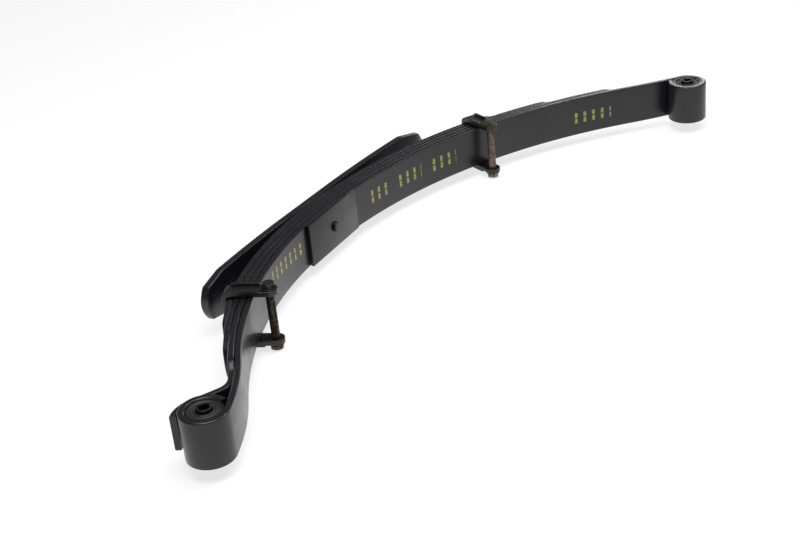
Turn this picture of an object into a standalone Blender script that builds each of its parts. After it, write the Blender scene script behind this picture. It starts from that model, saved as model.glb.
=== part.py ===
"""Semi-elliptic leaf spring pack lying on its side: five leaves, two bushed eyes, two bolted clips.

+X runs from the front eye to the rear eye, +Y to the convex side of the pack, +Z across the width.
The origin is the centre of the flat end of the centre bolt's locating head. Sizes are in metres.
"""

import math

import bmesh
import bpy
from mathutils import Matrix, Vector

MM = 0.001

# Leaves
LEAF_WIDTH = 60 * MM
LEAF_THICKNESS = 7.8 * MM
LEAF_GAP = 0.5 * MM
LEAF_PITCH = LEAF_THICKNESS + LEAF_GAP
LEAF_STEP = 9 * MM

# Camber of the main leaf's concave face: (arc length, radius) pairs going out from the centre bolt
FRONT_ARCS = ((150 * MM, 650 * MM), (250 * MM, 618 * MM), (103 * MM, -403 * MM))
REAR_ARCS = ((350 * MM, 735 * MM), (240 * MM, 765 * MM), (86 * MM, -751 * MM))
FRONT_LENGTH = sum(length for length, radius in FRONT_ARCS)
REAR_LENGTH = sum(length for length, radius in REAR_ARCS)

# Lengths of the shorter leaves along the main leaf, front and rear of the bolt
SECOND_REAR = 596 * MM
THIRD_FRONT = 362 * MM
THIRD_REAR = 492 * MM
FOURTH_FRONT = 300 * MM
FOURTH_REAR = 397 * MM
TIP_STEPS = 8
# Tips: length of the taper, half width at its end, depth of the bowed end
PACK_TIP = (42 * MM, 19 * MM, 4 * MM)
OVERLOAD_FRONT_TIP = (43 * MM, 22.8 * MM, 9 * MM)
OVERLOAD_REAR_TIP = (49 * MM, 20.5 * MM, 8 * MM)

# Overload leaf
OVERLOAD_THICKNESS = 10.5 * MM
OVERLOAD_FLAT = 50 * MM
OVERLOAD_RADIUS = 2200 * MM
OVERLOAD_FRONT = 250 * MM
OVERLOAD_REAR = 291 * MM

# Eyes
EYE_RADIUS = 29 * MM
EYE_BORE = EYE_RADIUS - LEAF_THICKNESS
EYE_STEP = math.radians(7.5)
FRONT_EYE_WRAP = math.radians(313)
REAR_EYE_WRAP = math.radians(313.5)

# Second leaf's wrap over the front eye
WRAP_CLEARANCE = 2.5 * MM
WRAP_START = 428 * MM
WRAP_BEND = 24 * MM
WRAP_HALF_WIDTH = 22 * MM
WRAP_END = math.radians(117)
WRAP_NARROWS = 412 * MM
WRAP_NECK = 22 * MM

# Clearance between pieces that touch in the real spring
PIECE_GAP = 0.3 * MM

# Rubber bushes
SHELL_WALL = 1.8 * MM
SHELL_HALF_LENGTH = 29.2 * MM
RUBBER_HALF_LENGTH = 28.6 * MM
RUBBER_LIP = 1.3 * MM
RUBBER_GROOVE = 3.2 * MM
SLEEVE_RADIUS = 9 * MM
SLEEVE_BORE = 6.1 * MM
SLEEVE_HALF_LENGTH = 32.5 * MM
ROUND_STEPS = 40

# Caster wedge and centre bolt
WEDGE_FRONT = 64 * MM
WEDGE_REAR = 60 * MM
WEDGE_THICK = 5.2 * MM
WEDGE_THIN = 1.1 * MM
BOLT_RADIUS = 5 * MM
HOLE_CLEARANCE = 0.3 * MM
HEAD_RADIUS = 6.75 * MM
HEAD_HEIGHT = 4.2 * MM
NUT_WIDTH = 17 * MM
NUT_HEIGHT = 8.5 * MM
BOLT_END = 3 * MM

# Rebound clips
FRONT_CLIP_AT = 251 * MM
REAR_CLIP_AT = 328 * MM
CLIP_WIDTH = 22 * MM
CLIP_THICKNESS = 6.5 * MM
CLIP_SIDE_GAP = 1 * MM
CLIP_BACK_GAP = 0.3 * MM
CLIP_BEND = 8 * MM
CLIP_BOLT_OUT = 18.5 * MM
CLIP_END_RADIUS = 11.4 * MM
CLIP_BOLT_RADIUS = 5.4 * MM
CLIP_NUT_WIDTH = 15 * MM
CLIP_NUT_HEIGHT = 6 * MM
CLIP_HEAD_HEIGHT = 6 * MM
CLIP_BOLT_END = 1 * MM
WASHER_RADIUS = 10 * MM
WASHER_THICKNESS = 1.8 * MM
# Pressed ribs along the outside of a clip's arms: middle of the rib along the leaf, height
CLIP_RIBS = ((9 * MM, 3 * MM), (-9 * MM, 2 * MM))
CLIP_RIB_WIDTH = 3.6 * MM
CLIP_GROOVE_AT = 5.5 * MM
CLIP_GROOVE_WIDTH = 1.6 * MM
CLIP_GROOVE_DEPTH = 1 * MM
RIVET_RADIUS = 3.5 * MM
RIVET_HEAD_RADIUS = 7 * MM
RIVET_HEAD_HEIGHT = 3.5 * MM

# Pivots of the two springing halves, as a share of each half's length
PIVOT_SHARE = 0.25

FAR = 100 * MM
PART = "leaf_spring"


def clear_scene():
    for item in list(bpy.data.objects):
        bpy.data.objects.remove(item, do_unlink=True)


def new_collection(name):
    collection = bpy.data.collections.new(name)
    bpy.context.scene.collection.children.link(collection)
    return collection


def new_material(name, colour, metallic, roughness):
    material = bpy.data.materials.new(name)
    material.use_nodes = True
    shader = material.node_tree.nodes["Principled BSDF"]
    shader.inputs["Base Color"].default_value = (*colour, 1)
    shader.inputs["Metallic"].default_value = metallic
    shader.inputs["Roughness"].default_value = roughness
    return material


def along_half(arcs, length):
    """Point and turn of the concave face at a length out from the bolt, before mirroring."""
    x, y, turn, left = 0.0, 0.0, 0.0, length
    for arc_length, radius in arcs:
        step = min(left, arc_length)
        end = turn + step / radius
        x += radius * (math.sin(end) - math.sin(turn))
        y -= radius * (math.cos(turn) - math.cos(end))
        turn = end
        left -= step
    return x, y, turn


def wedge_top(x):
    """Height of the wedge's flat seat above the main leaf at the bolt, towards -Y."""
    front = along_half(FRONT_ARCS, WEDGE_FRONT)[1] - WEDGE_THICK
    rear = along_half(REAR_ARCS, WEDGE_REAR)[1] - WEDGE_THIN
    share = (x + WEDGE_FRONT) / (WEDGE_FRONT + WEDGE_REAR)
    return front + (rear - front) * share


# The locating head stands this far out of the wedge, and its end is Y = 0
SEAT_Y = HEAD_HEIGHT - wedge_top(0)


def frame_at(station, out=0.0):
    """Origin and the along, out and width axes at a station of the pack; out grows to the convex side."""
    side = -1 if station < 0 else 1
    arcs = FRONT_ARCS if station < 0 else REAR_ARCS
    x, y, turn = along_half(arcs, abs(station))
    normal = Vector((side * math.sin(turn), math.cos(turn), 0))
    along = Vector((side * math.cos(turn), -math.sin(turn), 0))
    origin = Vector((side * x, y + SEAT_Y, 0)) + out * normal
    return origin, along, normal


def leaf_point(station, out):
    origin, along, normal = frame_at(station, out)
    return origin.x, origin.y


def stations(start, end, step=LEAF_STEP):
    count = max(2, round(abs(end - start) / step))
    return [start + (end - start) * i / count for i in range(count + 1)]


def arc_points(centre, radius, start, sweep):
    count = max(3, round(abs(sweep) / EYE_STEP))
    angles = [start + sweep * i / count for i in range(count + 1)]
    return [(centre.x + radius * math.cos(a), centre.y + radius * math.sin(a)) for a in angles]


def eye(station):
    """Centre of an eye and the angle from it to the place where the leaf runs into it."""
    out = EYE_RADIUS if station < 0 else LEAF_THICKNESS - EYE_RADIUS
    centre, along, normal = frame_at(station, out)
    towards = -normal if station < 0 else normal
    return centre, math.atan2(towards.y, towards.x)


FRONT_EYE, FRONT_EYE_START = eye(-FRONT_LENGTH)
REAR_EYE, REAR_EYE_START = eye(REAR_LENGTH)


def prism(name, outline, half_height, matrix=None):
    """Closed mesh of an outline in the XY plane, extruded both ways along Z, then placed by a matrix."""
    curve = bpy.data.curves.new(name + "_outline", "CURVE")
    curve.dimensions = "2D"
    curve.fill_mode = "BOTH"
    curve.extrude = half_height
    spline = curve.splines.new("POLY")
    spline.points.add(len(outline) - 1)
    for point, (x, y) in zip(spline.points, outline):
        point.co = (x, y, 0, 1)
    spline.use_cyclic_u = True
    return to_mesh(bpy.data.objects.new(name, curve), matrix)


def turned(name, profile, matrix=None, closed=False, steps=ROUND_STEPS):
    """Closed mesh of a profile of (radius, height) points turned about Z, then placed by a matrix."""
    mesh = bpy.data.meshes.new(name + "_profile")
    count = len(profile)
    edges = [(i, i + 1) for i in range(count - 1)]
    if closed:
        edges.append((count - 1, 0))
    mesh.from_pydata([(radius, 0, height) for radius, height in profile], edges, [])
    item = bpy.data.objects.new(name, mesh)
    screw = item.modifiers.new("Turn", "SCREW")
    screw.steps = steps
    screw.render_steps = steps
    screw.use_merge_vertices = True
    screw.merge_threshold = 0.00001
    return to_mesh(item, matrix)


def to_mesh(item, matrix=None):
    """A clean mesh object from an item that isn't yet in the scene."""
    bpy.context.scene.collection.objects.link(item)
    bpy.context.view_layer.update()
    graph = bpy.context.evaluated_depsgraph_get()
    mesh = bpy.data.meshes.new_from_object(item.evaluated_get(graph))
    name = item.name
    bpy.data.objects.remove(item, do_unlink=True)
    work = bmesh.new()
    work.from_mesh(mesh)
    bmesh.ops.remove_doubles(work, verts=work.verts, dist=0.000005)
    if matrix is not None:
        bmesh.ops.transform(work, matrix=matrix, verts=work.verts)
    bmesh.ops.recalc_face_normals(work, faces=work.faces)
    work.to_mesh(mesh)
    work.free()
    solid = bpy.data.objects.new(name, mesh)
    solid.data.name = name
    return solid


def cut(item, cutters, drawings):
    """Take each cutter out of the item with an exact Boolean."""
    for cutter in cutters:
        drawings.objects.link(cutter)
        cutter.hide_render = True
        cutter.display_type = "WIRE"
        modifier = item.modifiers.new("Cut", "BOOLEAN")
        modifier.operation = "DIFFERENCE"
        modifier.solver = "EXACT"
        modifier.object = cutter


def axes(origin, x_axis, y_axis):
    """Matrix that carries X and Y to the two given axes and the origin to a point."""
    z_axis = x_axis.cross(y_axis)
    matrix = Matrix((x_axis, y_axis, z_axis)).transposed().to_4x4()
    matrix.translation = origin
    return matrix


def rod_cutter(name, radius, half_length, matrix):
    profile = [(0, half_length), (radius, half_length), (radius, -half_length), (0, -half_length)]
    return turned(name, profile, matrix)


def bolt_hole(name, radius=BOLT_RADIUS):
    """Cutter for the hole that the centre bolt or its head passes through, along Y."""
    matrix = axes(Vector((0, SEAT_Y, 0)), Vector((1, 0, 0)), Vector((0, 0, -1)))
    return rod_cutter(name, radius + HOLE_CLEARANCE, FAR, matrix)


def tip_outline(tip):
    """Plan of what is trimmed from around a leaf's tip: X out along the leaf, Y across it."""
    taper, tip_half, bow = tip
    half_width = LEAF_WIDTH / 2
    slope = (taper - bow) / (half_width - tip_half)
    reach = half_width + 10 * MM
    start = -bow - slope * (reach - tip_half)
    points = [(start, reach)]
    for i in range(TIP_STEPS + 1):
        across = tip_half * (1 - 2 * i / TIP_STEPS)
        points.append((-bow * (across / tip_half) ** 2, across))
    points.append((start, -reach))
    points.append((FAR, -reach))
    points.append((FAR, reach))
    return points


def tip_cutter(name, origin, along, tip):
    """Cutter that trims the corners of a leaf whose middle ends at the origin."""
    matrix = axes(origin, along, Vector((0, 0, 1)))
    return prism(name, tip_outline(tip), FAR / 2, matrix)


def pack_tip(name, station, layer):
    """Tip cutter for a leaf of the cambered pack; layer counts from the main leaf."""
    out = LEAF_PITCH * layer + LEAF_THICKNESS / 2
    origin, along, normal = frame_at(station, out)
    return tip_cutter(name, origin, along, PACK_TIP)


def strip(start, end, layer):
    """Outline of a leaf of the pack between two stations."""
    inner = LEAF_PITCH * layer
    points = [leaf_point(s, inner) for s in stations(start, end)]
    points += [leaf_point(s, inner + LEAF_THICKNESS) for s in stations(end, start)]
    return points


def main_leaf(drawings):
    """Longest leaf: its front end is rolled down to the convex side, its rear end up to the concave side."""
    front = (FRONT_EYE, EYE_RADIUS, FRONT_EYE_START, -FRONT_EYE_WRAP)
    rear = (REAR_EYE, EYE_BORE, REAR_EYE_START, -REAR_EYE_WRAP)
    concave = [leaf_point(s, 0) for s in stations(-FRONT_LENGTH, REAR_LENGTH)]
    convex = [leaf_point(s, LEAF_THICKNESS) for s in stations(REAR_LENGTH, -FRONT_LENGTH)]
    outline = arc_points(*front)[:0:-1] + concave + arc_points(*rear)[1:]
    outline += arc_points(REAR_EYE, EYE_RADIUS, REAR_EYE_START, -REAR_EYE_WRAP)[:0:-1] + convex
    outline += arc_points(FRONT_EYE, EYE_BORE, FRONT_EYE_START, -FRONT_EYE_WRAP)[1:]
    leaf = prism("main_leaf", outline, LEAF_WIDTH / 2)
    cut(leaf, [bolt_hole("main_leaf_hole")], drawings)
    return leaf


def turn_towards(heading, angle):
    return Vector((math.cos(heading + angle), math.sin(heading + angle), 0))


def wrap_path():
    """Middle line of the second leaf's wrap as (point, heading) pairs, from the pack to its cut end."""
    layer_out = LEAF_PITCH + LEAF_THICKNESS / 2
    start, along, normal = frame_at(-WRAP_START, layer_out)
    heading = math.atan2(along.y, along.x)
    radius = EYE_RADIUS + WRAP_CLEARANCE + LEAF_THICKNESS / 2
    centre_of_bend = start + WRAP_BEND * normal

    def miss(turn):
        """How far the straight part would pass outside the wrap's circle round the eye."""
        new = turn_towards(heading, -turn)
        left_of = Vector((new.y, -new.x, 0))
        leaves_bend = centre_of_bend - WRAP_BEND * left_of
        return (leaves_bend - FRONT_EYE).dot(left_of) - radius

    low, high = 0.0, math.radians(110)
    for _ in range(60):
        middle = (low + high) / 2
        if miss(middle) < 0:
            low = middle
        else:
            high = middle
    turn = (low + high) / 2
    path = []
    for i in range(9):
        new = turn_towards(heading, -turn * i / 8)
        left_of = Vector((new.y, -new.x, 0))
        path.append((centre_of_bend - WRAP_BEND * left_of, left_of))
    touch = math.atan2(left_of.y, left_of.x)
    count = max(4, round((WRAP_END - touch) / EYE_STEP))
    for i in range(count + 1):
        angle = touch + (WRAP_END - touch) * i / count
        out = Vector((math.cos(angle), math.sin(angle), 0))
        path.append((FRONT_EYE + radius * out, out))
    return path


def second_leaf(drawings):
    """Leaf whose front end wraps over the front eye at a reduced width."""
    half = LEAF_THICKNESS / 2
    pack = stations(SECOND_REAR, -WRAP_START)[:-1]
    path = wrap_path()
    inner = [leaf_point(s, LEAF_PITCH) for s in pack]
    inner += [((p - half * out).x, (p - half * out).y) for p, out in path]
    outer = [leaf_point(s, LEAF_PITCH + LEAF_THICKNESS) for s in pack]
    outer += [((p + half * out).x, (p + half * out).y) for p, out in path]
    leaf = prism("second_leaf", inner + outer[::-1], LEAF_WIDTH / 2)
    origin, along, normal = frame_at(-WRAP_NARROWS, LEAF_PITCH)
    reach = LEAF_WIDTH / 2 + 10 * MM
    slope = WRAP_NECK / (LEAF_WIDTH / 2 - WRAP_HALF_WIDTH)
    start = -slope * (reach - WRAP_HALF_WIDTH)
    cutters = []
    for side in (1, -1):
        plan = [(start, side * reach), (0, side * WRAP_HALF_WIDTH)]
        plan += [(2 * FAR, side * WRAP_HALF_WIDTH), (2 * FAR, side * reach)]
        matrix = axes(origin, along, Vector((0, 0, 1)))
        cutters.append(prism("second_leaf_side", plan, FAR, matrix))
    cutters.append(pack_tip("second_leaf_tip", SECOND_REAR, 1))
    cutters.append(bolt_hole("second_leaf_hole"))
    cut(leaf, cutters, drawings)
    return leaf


def plain_leaf(name, front, rear, layer, drawings, more=()):
    """Leaf of the pack with trimmed tips at both ends."""
    leaf = prism(name, strip(-front, rear, layer), LEAF_WIDTH / 2)
    cutters = [pack_tip(name + "_front_tip", -front, layer), pack_tip(name + "_rear_tip", rear, layer)]
    cut(leaf, cutters + [bolt_hole(name + "_hole")] + list(more), drawings)
    return leaf


def overload_point(x, out):
    """Point of the overload leaf: flat in the middle, gently cambered outside it."""
    base = SEAT_Y + 4 * LEAF_PITCH
    beyond = max(0.0, abs(x) - OVERLOAD_FLAT)
    turn = math.asin(beyond / OVERLOAD_RADIUS)
    side = -1 if x < 0 else 1
    drop = OVERLOAD_RADIUS * (1 - math.cos(turn))
    return x + side * out * math.sin(turn), base - drop + out * math.cos(turn)


def overload_leaf(drawings):
    """Flatter helper leaf on the convex side of the pack."""
    places = stations(-OVERLOAD_FRONT, -OVERLOAD_FLAT, 2 * LEAF_STEP)
    places += stations(OVERLOAD_FLAT, OVERLOAD_REAR, 2 * LEAF_STEP)
    inner = [overload_point(x, 0) for x in places]
    outer = [overload_point(x, OVERLOAD_THICKNESS) for x in reversed(places)]
    leaf = prism("overload_leaf", inner + outer, LEAF_WIDTH / 2)
    cutters = [bolt_hole("overload_leaf_hole")]
    ends = (("front", -OVERLOAD_FRONT, -1, OVERLOAD_FRONT_TIP), ("rear", OVERLOAD_REAR, 1, OVERLOAD_REAR_TIP))
    for name, x, side, tip in ends:
        middle = Vector((*overload_point(x, OVERLOAD_THICKNESS / 2), 0))
        turn = math.asin((abs(x) - OVERLOAD_FLAT) / OVERLOAD_RADIUS)
        along = Vector((side * math.cos(turn), -math.sin(turn), 0))
        cutters.append(tip_cutter(f"overload_{name}_tip", middle, along, tip))
    cut(leaf, cutters, drawings)
    return leaf


def caster_wedge(drawings):
    """Tapered plate between the main leaf and the axle seat."""
    outline = [leaf_point(s, -LEAF_GAP) for s in stations(-WEDGE_FRONT, WEDGE_REAR)]
    outline.append((outline[-1][0], wedge_top(WEDGE_REAR) + SEAT_Y))
    outline.append((outline[0][0], wedge_top(-WEDGE_FRONT) + SEAT_Y))
    wedge = prism("caster_wedge", outline, LEAF_WIDTH / 2)
    cut(wedge, [bolt_hole("caster_wedge_hole", HEAD_RADIUS)], drawings)
    return wedge


def hex_outline(width):
    radius = width / math.sqrt(3)
    return [(radius * math.cos(math.radians(60 * i)), radius * math.sin(math.radians(60 * i)))
            for i in range(6)]


def hex_nut(name, width, height, hole, matrix, drawings):
    """Six-sided nut centred on its own origin, with its axis along Z."""
    nut = prism(name, hex_outline(width), height / 2, matrix)
    cut(nut, [rod_cutter(name + "_hole", hole, height, matrix)], drawings)
    return nut


def centre_bolt():
    """Bolt through the leaves; its round head passes the wedge and locates the axle seat."""
    nut_end = SEAT_Y + 4 * LEAF_PITCH + OVERLOAD_THICKNESS + LEAF_GAP + NUT_HEIGHT + BOLT_END
    chamfer = 0.6 * MM
    head_end = SEAT_Y - PIECE_GAP
    profile = [(0, 0), (HEAD_RADIUS - chamfer, 0), (HEAD_RADIUS, -chamfer), (HEAD_RADIUS, -head_end)]
    profile += [(BOLT_RADIUS, -head_end), (BOLT_RADIUS, -nut_end + chamfer)]
    profile += [(BOLT_RADIUS - chamfer, -nut_end), (0, -nut_end)]
    matrix = axes(Vector((0, 0, 0)), Vector((1, 0, 0)), Vector((0, 0, 1)))
    return turned("centre_bolt", profile, matrix)


def centre_nut(drawings):
    middle = SEAT_Y + 4 * LEAF_PITCH + OVERLOAD_THICKNESS + LEAF_GAP + NUT_HEIGHT / 2
    matrix = axes(Vector((0, middle, 0)), Vector((1, 0, 0)), Vector((0, 0, 1)))
    return hex_nut("centre_nut", NUT_WIDTH, NUT_HEIGHT, BOLT_RADIUS + HOLE_CLEARANCE, matrix, drawings)


def ring(name, outer, bore, half_length, edge):
    """Tube along Z with its four rims chamfered."""
    profile = [(bore + edge, half_length), (outer - edge, half_length), (outer, half_length - edge)]
    profile += [(outer, edge - half_length), (outer - edge, -half_length), (bore + edge, -half_length)]
    profile += [(bore, edge - half_length), (bore, half_length - edge)]
    return turned(name, profile, closed=True)


def rubber(name):
    """Rubber ring with a raised lip, a moulded groove and a dished face at each end."""
    outer = EYE_BORE - PIECE_GAP - SHELL_WALL - PIECE_GAP
    bore = SLEEVE_RADIUS + PIECE_GAP
    span = outer - bore
    top = RUBBER_HALF_LENGTH
    face = [(bore, top - 0.4 * MM), (bore + 0.18 * span, top), (bore + 0.34 * span, top - RUBBER_GROOVE)]
    face += [(bore + 0.6 * span, top - RUBBER_GROOVE), (bore + 0.78 * span, top)]
    face += [(outer - 0.5 * MM, top + RUBBER_LIP), (outer, top)]
    profile = face + [(radius, -height) for radius, height in reversed(face)]
    return turned(name, profile, closed=True)


def bush(side, centre, holder, collection):
    """Outer shell, rubber and inner sleeve of one eye, each with its origin on the eye's axis."""
    shell = ring(f"{side}_bush_shell", EYE_BORE - PIECE_GAP, EYE_BORE - PIECE_GAP - SHELL_WALL,
                 SHELL_HALF_LENGTH, 0.4 * MM)
    sleeve = ring(f"{side}_bush_sleeve", SLEEVE_RADIUS, SLEEVE_BORE, SLEEVE_HALF_LENGTH, 0.7 * MM)
    pieces = {"shell": shell, "rubber": rubber(f"{side}_bush_rubber"), "sleeve": sleeve}
    for piece in pieces.values():
        piece.location = centre - holder.location
        piece.parent = holder
        collection.objects.link(piece)
    return pieces


def clip_outline():
    """Section of a clip strap: X out from the main leaf's concave face, Y across the leaf."""
    inner = LEAF_WIDTH / 2 + CLIP_SIDE_GAP
    outer = inner + CLIP_THICKNESS
    back = 4 * LEAF_PITCH - LEAF_GAP + CLIP_BACK_GAP
    end = -CLIP_BOLT_OUT - CLIP_WIDTH / 2
    inner_bend = CLIP_BEND - CLIP_THICKNESS
    half = [(end, inner), (back - inner_bend, inner)]
    for i in range(1, 5):
        angle = math.radians(90 - 22.5 * i)
        half.append((back - inner_bend + inner_bend * math.cos(angle),
                     inner - inner_bend + inner_bend * math.sin(angle)))
    outside = [(end, outer), (back + CLIP_THICKNESS - CLIP_BEND, outer)]
    for i in range(1, 7):
        angle = math.radians(90 - 15 * i)
        outside.append((back + CLIP_THICKNESS - CLIP_BEND + CLIP_BEND * math.cos(angle),
                        outer - CLIP_BEND + CLIP_BEND * math.sin(angle)))
    mirrored_in = [(x, -y) for x, y in reversed(half)]
    mirrored_out = [(x, -y) for x, y in reversed(outside)]
    return half + mirrored_in + mirrored_out[::-1] + outside[::-1]


def clip_ribs(place):
    """Ribs on the two arms of a strap, from beside the washers to the bends."""
    outer = LEAF_WIDTH / 2 + CLIP_SIDE_GAP + CLIP_THICKNESS
    start = WASHER_RADIUS - CLIP_BOLT_OUT + 1 * MM
    end = 4 * LEAF_PITCH - LEAF_GAP + CLIP_BACK_GAP + CLIP_THICKNESS - CLIP_BEND
    ribs = []
    for middle, height in CLIP_RIBS:
        for side in (1, -1):
            outline = [(start, side * (outer - 1 * MM)), (end, side * (outer - 1 * MM)),
                       (end - height / 2, side * (outer + height)), (start + height, side * (outer + height))]
            shift = place @ Matrix.Translation((0, 0, middle))
            ribs.append(prism("clip_rib", outline, CLIP_RIB_WIDTH / 2, shift))
    return ribs


def clip_strap(name, place, drawings):
    """U-shaped strap round the pack; place carries X out, Y across the leaf and Z along the leaf."""
    strap = prism(name, clip_outline(), CLIP_WIDTH / 2, place)
    for rib in clip_ribs(place):
        strap = joined(name, strap, rib)
    radius = CLIP_END_RADIUS
    plan = [(-CLIP_BOLT_OUT + radius * math.cos(math.radians(90 + 15 * i)),
             radius * math.sin(math.radians(90 + 15 * i))) for i in range(13)]
    reach = radius + 5 * MM
    plan += [(-CLIP_BOLT_OUT, -reach), (-FAR, -reach), (-FAR, reach), (-CLIP_BOLT_OUT, reach)]
    lift = place @ Matrix.Rotation(math.radians(90), 4, "X")
    outer = LEAF_WIDTH / 2 + CLIP_SIDE_GAP + CLIP_THICKNESS
    hole = place @ Matrix.Translation((-CLIP_BOLT_OUT, 0, 0)) @ Matrix.Rotation(math.radians(90), 4, "X")
    cutters = [prism(name + "_ends", plan, FAR, lift)]
    cutters.append(rod_cutter(name + "_hole", CLIP_BOLT_RADIUS + HOLE_CLEARANCE, FAR, hole))
    rivet = place @ Matrix.Translation((FAR / 2, 0, 0)) @ Matrix.Rotation(math.radians(90), 4, "Y")
    cutters.append(rod_cutter(name + "_rivet_hole", RIVET_RADIUS + HOLE_CLEARANCE, FAR / 2, rivet))
    back = 4 * LEAF_PITCH - CLIP_BEND
    near = CLIP_WIDTH / 2 - CLIP_GROOVE_AT
    for side in (1, -1):
        low = side * (outer - CLIP_GROOVE_DEPTH)
        high = side * (outer + CLIP_GROOVE_DEPTH)
        groove = [(-CLIP_BOLT_OUT / 3, low), (back, low), (back, high), (-CLIP_BOLT_OUT / 3, high)]
        shift = place @ Matrix.Translation((0, 0, near - CLIP_GROOVE_WIDTH / 2))
        cutters.append(prism(f"{name}_groove", groove, CLIP_GROOVE_WIDTH / 2, shift))
    cut(strap, cutters, drawings)
    return strap


def clip(side, station, holder, collection, drawings):
    """Strap, bolt, nut, two washers and rivet of one rebound clip."""
    origin, along, normal = frame_at(station)
    rearward = along if along.x > 0 else -along
    local = Matrix.Translation(-holder.location)
    across = rearward.cross(normal)
    place = local @ axes(origin, normal, across)
    bolt_place = place @ Matrix.Translation((-CLIP_BOLT_OUT, 0, 0)) @ Matrix.Rotation(math.radians(90), 4, "X")
    outer = LEAF_WIDTH / 2 + CLIP_SIDE_GAP + CLIP_THICKNESS
    upwards = 1 if (bolt_place.to_3x3() @ Vector((0, 0, 1))).z > 0 else -1
    turn_up = Matrix.Rotation(0 if upwards > 0 else math.pi, 4, "X")
    bolt_place = bolt_place @ turn_up
    washer_top = outer + PIECE_GAP + WASHER_THICKNESS
    head_at = washer_top + PIECE_GAP
    end = head_at + CLIP_NUT_HEIGHT + 2 * PIECE_GAP + CLIP_BOLT_END
    pieces = [clip_strap(f"{side}_clip_strap", place, drawings)]
    pieces.append(clip_bolt(f"{side}_clip_bolt", head_at, end, bolt_place))
    hole = CLIP_BOLT_RADIUS + HOLE_CLEARANCE
    nut_place = bolt_place @ Matrix.Translation((0, 0, -head_at - CLIP_NUT_HEIGHT / 2))
    pieces.append(hex_nut(f"{side}_clip_nut", CLIP_NUT_WIDTH, CLIP_NUT_HEIGHT, hole, nut_place, drawings))
    for name, sign in (("head", 1), ("nut", -1)):
        middle = sign * (outer + PIECE_GAP + WASHER_THICKNESS / 2)
        washer = washer_ring(f"{side}_clip_{name}_washer", hole, bolt_place @ Matrix.Translation((0, 0, middle)))
        pieces.append(washer)
    pieces.append(clip_rivet(f"{side}_clip_rivet", place))
    for piece in pieces:
        piece.parent = holder
        collection.objects.link(piece)
    return pieces


def washer_ring(name, bore, matrix):
    half = WASHER_THICKNESS / 2
    profile = [(bore, half), (WASHER_RADIUS, half), (WASHER_RADIUS, -half), (bore, -half)]
    return turned(name, profile, matrix, closed=True)


def clip_bolt(name, head_at, end, matrix):
    """Hexagon bolt along Z: its head starts at head_at and its shank ends at -end."""
    radius = CLIP_BOLT_RADIUS
    profile = [(0, head_at + CLIP_HEAD_HEIGHT / 2), (radius, head_at + CLIP_HEAD_HEIGHT / 2)]
    profile += [(radius, 1 * MM - end), (radius - 1 * MM, -end), (0, -end)]
    shank = turned(name, profile)
    head = prism(name + "_head", hex_outline(CLIP_NUT_WIDTH), CLIP_HEAD_HEIGHT / 2,
                 Matrix.Translation((0, 0, head_at + CLIP_HEAD_HEIGHT / 2)))
    bolt = joined(name, shank, head)
    bolt.data.transform(matrix)
    return bolt


def joined(name, first, second):
    """One solid from two overlapping ones, by an exact Boolean union."""
    collection = bpy.context.scene.collection
    collection.objects.link(first)
    collection.objects.link(second)
    modifier = first.modifiers.new("Union", "BOOLEAN")
    modifier.operation = "UNION"
    modifier.solver = "EXACT"
    modifier.object = second
    bpy.context.view_layer.update()
    graph = bpy.context.evaluated_depsgraph_get()
    mesh = bpy.data.meshes.new_from_object(first.evaluated_get(graph))
    for item in (first, second):
        bpy.data.objects.remove(item, do_unlink=True)
    solid = bpy.data.objects.new(name, mesh)
    mesh.name = name
    return solid


def clip_rivet(name, place):
    """Round-headed rivet that fixes the strap to the fourth leaf."""
    outside = 4 * LEAF_PITCH - LEAF_GAP + CLIP_BACK_GAP + CLIP_THICKNESS + PIECE_GAP
    inside = 3 * LEAF_PITCH + PIECE_GAP
    profile = [(0, outside + RIVET_HEAD_HEIGHT)]
    for i in range(1, 6):
        angle = math.radians(18 * i)
        profile.append((RIVET_HEAD_RADIUS * math.sin(angle), outside + RIVET_HEAD_HEIGHT * math.cos(angle)))
    profile += [(RIVET_RADIUS, outside), (RIVET_RADIUS, inside), (0, inside)]
    return turned(name, profile, place @ Matrix.Rotation(math.radians(90), 4, "Y"))


def rivet_hole(name, station):
    """Cutter through the fourth leaf for a clip's rivet."""
    origin, along, normal = frame_at(station, 3 * LEAF_PITCH + LEAF_THICKNESS / 2)
    matrix = axes(origin, along, Vector((0, 0, 1)))
    return rod_cutter(name, RIVET_RADIUS + HOLE_CLEARANCE, LEAF_THICKNESS, matrix)


def pivot(side, station, collection):
    """Empty on the line that one half of the pack springs about."""
    holder = bpy.data.objects.new(f"{side}_pivot", None)
    origin, along, normal = frame_at(station, 2 * LEAF_PITCH)
    holder.location = origin
    collection.objects.link(holder)
    return holder


def paint(item, material):
    item.data.materials.clear()
    item.data.materials.append(material)


def colours():
    """Flat colour for every sub-part, keyed by the start or end of its name."""
    steel = (0.035, 0.035, 0.038)
    return (
        ("bush_rubber", (0.012, 0.012, 0.012), 0.0, 0.8),
        ("bush_sleeve", (0.32, 0.32, 0.3), 1.0, 0.4),
        ("bush_shell", (0.05, 0.05, 0.05), 0.6, 0.5),
        ("clip_bolt", (0.12, 0.07, 0.045), 0.8, 0.6),
        ("clip_nut", (0.2, 0.2, 0.16), 0.9, 0.45),
        ("washer", (0.25, 0.24, 0.2), 0.9, 0.45),
        ("", steel, 0.3, 0.45),
    )


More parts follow.
